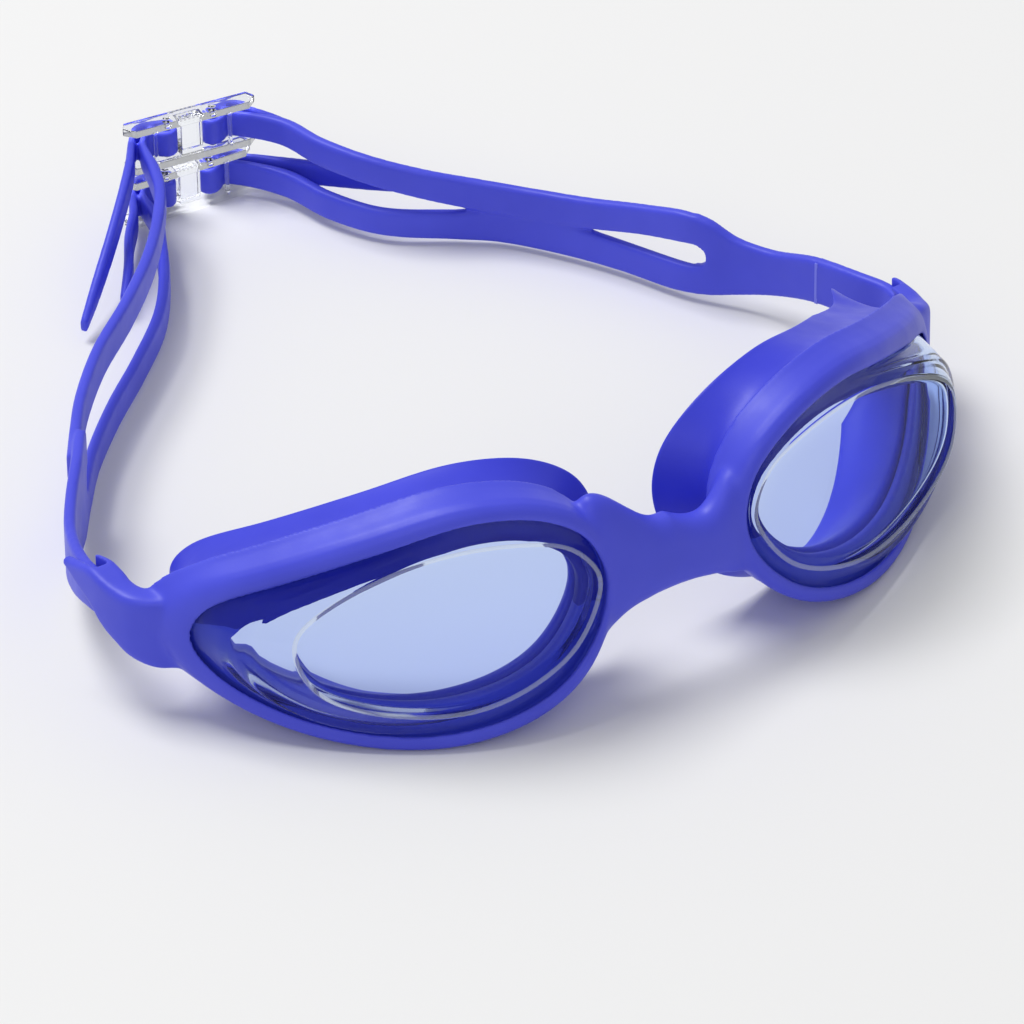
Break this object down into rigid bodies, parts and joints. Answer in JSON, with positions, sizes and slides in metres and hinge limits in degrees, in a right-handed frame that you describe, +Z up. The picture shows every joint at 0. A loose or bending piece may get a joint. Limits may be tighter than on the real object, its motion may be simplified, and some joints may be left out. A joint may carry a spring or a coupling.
{
  "type": "swim goggles",
  "caption": "Swim goggles with wrapped clear lenses in a soft one-piece frame, flared face seals and a split head strap joined by clear clips.",
  "frame": {"origin": "on the surface the goggles stand on, under the middle of their footprint", "axes": "+X across the face, +Y from the lenses to the back of the head, +Z up"},
  "size_m": [0.1602, 0.1692, 0.0418],
  "materials": {
    "frame_silicone": "smooth matte silicone",
    "seal_silicone": "soft satin silicone",
    "strap_silicone": "smooth matte silicone",
    "lens_plastic": "clear, pale blue, polished",
    "clip_plastic": "clear, polished"
  },
  "bodies": {
    "eyepiece": {"frame": "frame_silicone", "lens_right": "lens_plastic", "lens_left": "lens_plastic", "seal_right": "seal_silicone", "seal_left": "seal_silicone"},
    "strap": {"strap_right": "strap_silicone", "strap_left": "strap_silicone", "clip_upper": "clip_plastic", "clip_lower": "clip_plastic"}
  },
  "joints": [
    {"name": "strap_tilt", "type": "hinge", "parent": "eyepiece", "child": "strap", "pos_m": [0, -0.03309, 0.01565], "axis": [0.9996, 0, -0.0289], "range_deg": [-10, 20], "stiffness_Nm_per_rad": 0.5}
  ]
}
